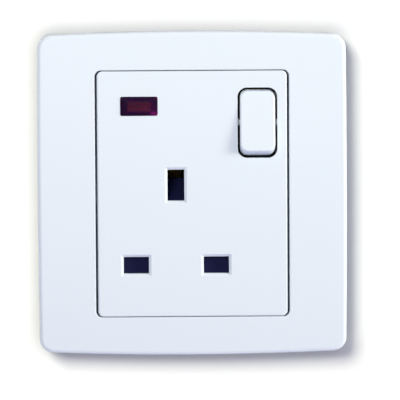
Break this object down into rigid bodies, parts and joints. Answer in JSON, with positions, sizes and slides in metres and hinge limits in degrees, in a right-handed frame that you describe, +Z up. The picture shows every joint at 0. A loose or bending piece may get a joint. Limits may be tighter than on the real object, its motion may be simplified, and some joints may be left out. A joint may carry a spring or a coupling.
{
  "type": "switched socket",
  "caption": "White square wall socket with a rocker switch, a dark red neon window, shuttered pin slots, a clip-on surround and a rear terminal housing.",
  "frame": {"origin": "midpoint between the two fixing holes, on the wall plane behind the plate", "axes": "+Z up the wall, +X to the right seen from the room, the face looks along -Y and the rear housing stands in the wall along +Y"},
  "size_m": [0.086, 0.032, 0.09],
  "materials": {
    "white_plastic": "smooth glossy moulded",
    "housing_plastic": "fine satin moulded",
    "inner_plastic": "satin moulded",
    "black_plastic": "satin moulded",
    "lens_plastic": "clear dark red, polished",
    "lamp_glass": "clear blown",
    "brass": "bright stamped",
    "silver": "dull silver",
    "steel": "zinc plated",
    "spring_steel": "drawn wire",
    "resistor_coat": "dipped lacquer",
    "tinned_wire": "tinned copper"
  },
  "bodies": {
    "socket_body": {"surround": "white_plastic", "front_panel": "white_plastic", "rear_housing": "housing_plastic", "housing_screws": "steel", "contact_pivot_pin": "steel", "line_bracket": "brass", "live_contact": "brass", "fixed_contact_tip": "silver", "neutral_contact": "brass", "earth_contact": "brass", "line_terminal_block": "brass", "neutral_terminal_block": "brass", "earth_terminal_block": "brass", "terminal_screws": "brass", "shutter_spring": "spring_steel", "shutter_retainer": "black_plastic", "neon_lens": "lens_plastic", "lamp_holder": "inner_plastic", "neon_lamp": "lamp_glass", "neon_resistor": "resistor_coat", "neon_link_lead": "tinned_wire", "neon_live_lead": "tinned_wire", "neon_neutral_lead": "tinned_wire"},
    "switch_rocker": {"rocker": "white_plastic", "plunger_spring": "spring_steel"},
    "switch_plunger": {"rocker_plunger": "inner_plastic"},
    "switch_contact": {"moving_contact": "brass", "moving_contact_tip": "silver"},
    "pin_shutter": {"shutter": "black_plastic"}
  },
  "joints": [
    {"name": "rocker_hinge", "type": "hinge", "parent": "socket_body", "child": "switch_rocker", "pos_m": [0.01812, -0.006, 0.01962], "axis": [1, 0, 0], "range_deg": [0, 15]},
    {"name": "plunger_slide", "type": "slide", "parent": "switch_rocker", "child": "switch_plunger", "axis": [0, -0.9914, 0.1305], "range_m": [0, 0.001], "stiffness_N_per_m": 300, "springref_m": -0.003, "deforming": ["plunger_spring"]},
    {"name": "contact_hinge", "type": "hinge", "parent": "socket_body", "child": "switch_contact", "pos_m": [0.01812, 0.00499, 0.01962], "axis": [1, 0, 0], "range_deg": [-22, 0]},
    {"name": "shutter_slide", "type": "slide", "parent": "socket_body", "child": "pin_shutter", "axis": [0, 0, -1], "range_m": [0, 0.0056], "stiffness_N_per_m": 60, "springref_m": -0.006, "deforming": ["shutter_spring"]}
  ],
  "couplings": [
    {"joint": "contact_hinge", "follows": "rocker_hinge", "ratio": -1.4666}
  ]
}
